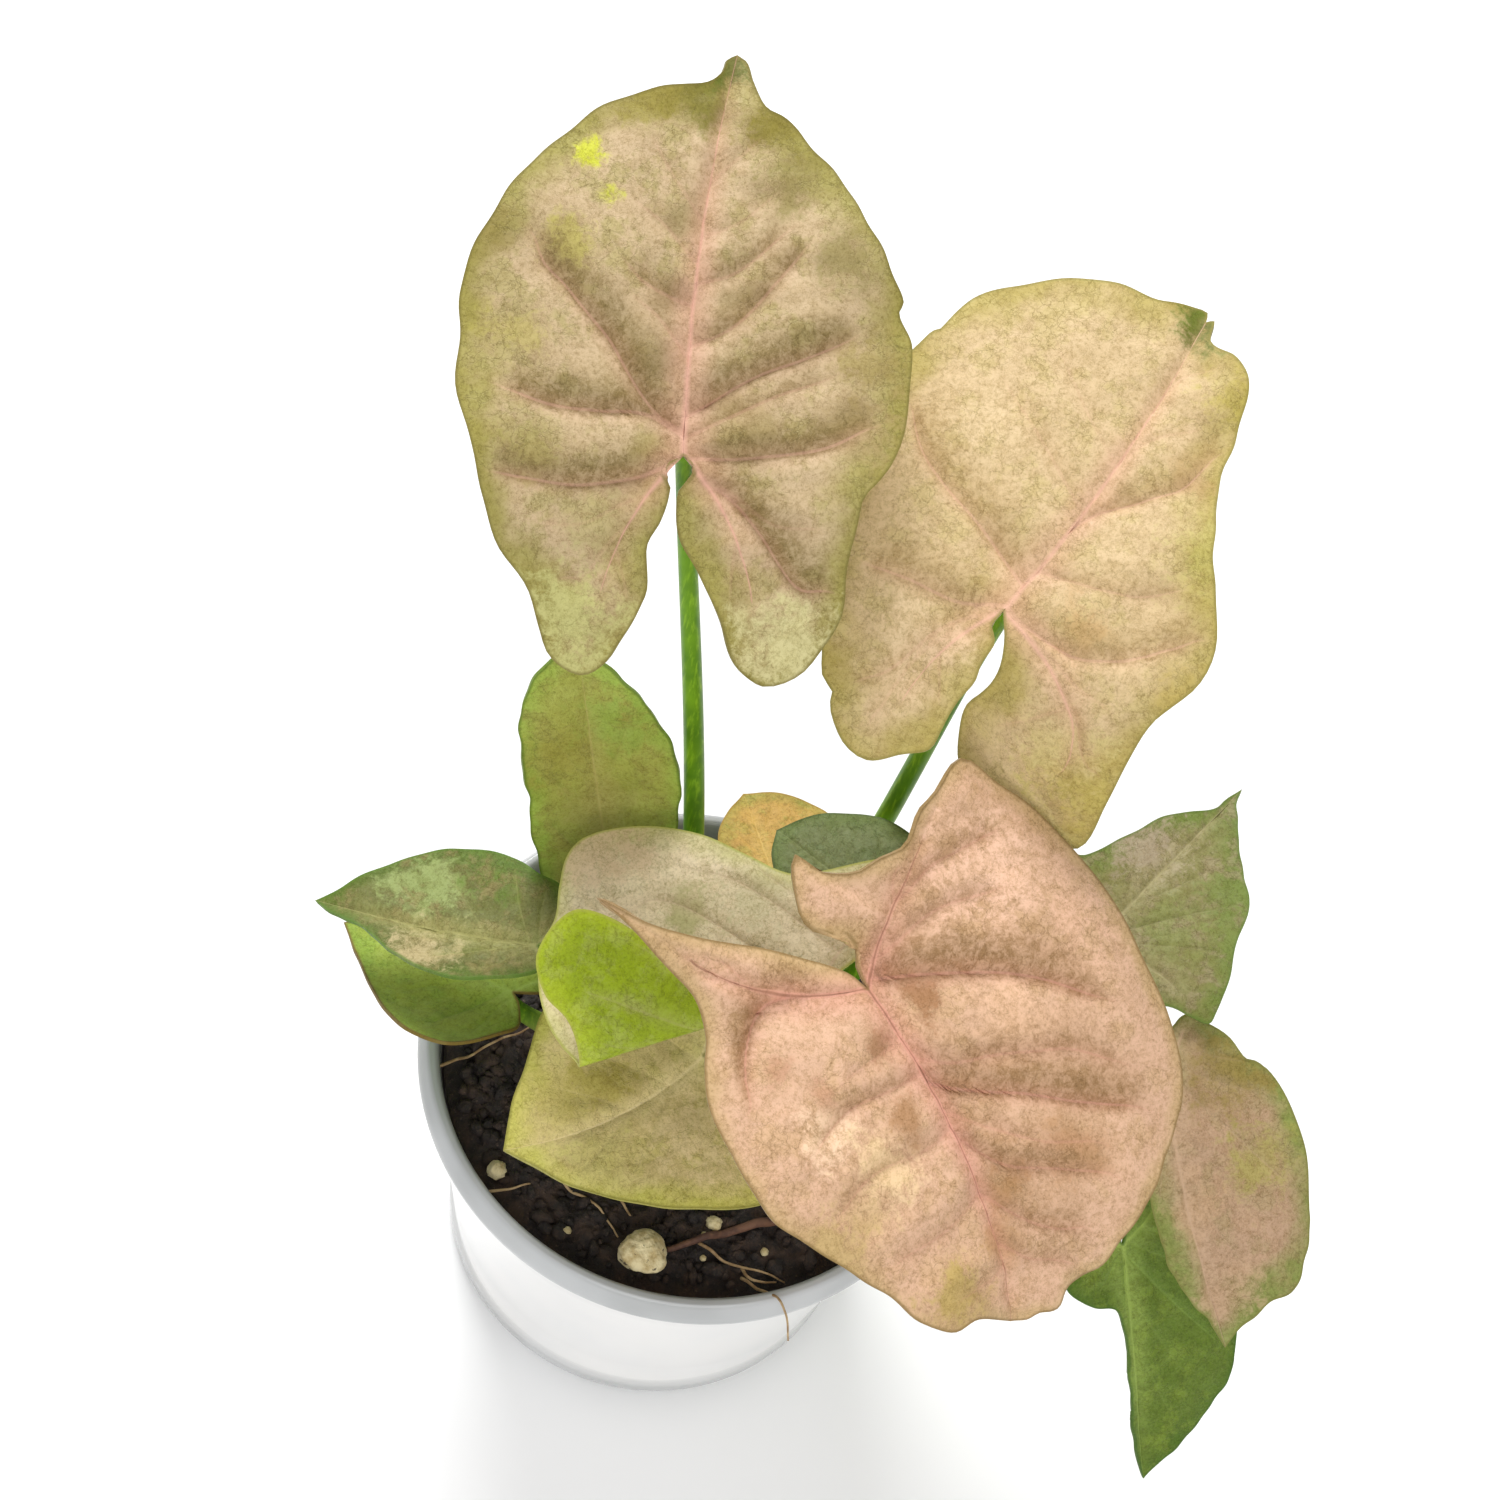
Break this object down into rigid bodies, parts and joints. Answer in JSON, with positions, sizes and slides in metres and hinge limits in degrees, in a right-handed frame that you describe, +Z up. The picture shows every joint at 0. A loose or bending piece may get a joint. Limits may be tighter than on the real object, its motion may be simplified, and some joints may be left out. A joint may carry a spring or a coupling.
{
  "type": "arrowhead plant",
  "caption": "Potted arrowhead plant: pink and green arrow-shaped leaves on thin stalks in a small round plastic pot of dark soil.",
  "frame": {"origin": "centre of the flat face under the pot", "axes": "+Z up, out of the soil; -Y is the side the large leaves lean to"},
  "size_m": [0.1219, 0.106, 0.1467],
  "materials": {
    "pot": "thin glossy white plastic, slightly translucent, unprinted",
    "soil": "dark damp peat, matt, with fine fibres and crumbs",
    "perlite": "pale porous grain, matt, stained cream",
    "leaf_a": "cream pink blade with olive margin, satin",
    "leaf_b": "cream blade with yellow green edges, satin",
    "leaf_c": "salmon pink blade with pinker veins, satin",
    "leaf_d": "beige pink blade with its near half folded over, lime green underneath",
    "leaf_e": "olive yellow blade with tan middle, satin",
    "leaf_f": "green blade with brownish middle, satin",
    "leaf_g": "mid green blade, pinkish beige on its lower half",
    "leaf_h": "green blade with a brown red rim",
    "leaf_i": "orange yellow young blade, satin",
    "leaf_j": "dull green blade, satin",
    "leaf_k": "olive green blade, greyed beside the midrib",
    "leaf_l": "pinkish tan blade with a green top",
    "leaf_m": "dark green blade, satin",
    "stalk_a": "smooth green leaf stalk, satin",
    "stalk_b": "smooth green leaf stalk, satin",
    "stalk_c": "smooth green leaf stalk, satin",
    "stalk_d": "smooth green leaf stalk, satin",
    "stalk_e": "smooth green leaf stalk, satin",
    "stalk_f": "smooth green leaf stalk, satin",
    "stalk_g": "smooth green leaf stalk, satin",
    "stalk_h": "smooth green leaf stalk, satin",
    "stalk_i": "smooth green leaf stalk, satin",
    "stalk_j": "smooth green leaf stalk, satin",
    "stalk_k": "smooth green leaf stalk, satin",
    "stalk_l": "smooth green leaf stalk, satin",
    "stalk_m": "smooth green leaf stalk, satin"
  },
  "bodies": {
    "root": {"pot": "pot", "soil": "soil", "perlite": "perlite", "leaf_a": "leaf_a", "leaf_b": "leaf_b", "leaf_c": "leaf_c", "leaf_d": "leaf_d", "leaf_e": "leaf_e", "leaf_f": "leaf_f", "leaf_g": "leaf_g", "leaf_h": "leaf_h", "leaf_i": "leaf_i", "leaf_j": "leaf_j", "leaf_k": "leaf_k", "leaf_l": "leaf_l", "leaf_m": "leaf_m", "stalk_a": "stalk_a", "stalk_b": "stalk_b", "stalk_c": "stalk_c", "stalk_d": "stalk_d", "stalk_e": "stalk_e", "stalk_f": "stalk_f", "stalk_g": "stalk_g", "stalk_h": "stalk_h", "stalk_i": "stalk_i", "stalk_j": "stalk_j", "stalk_k": "stalk_k", "stalk_l": "stalk_l", "stalk_m": "stalk_m"}
  },
  "joints": []
}
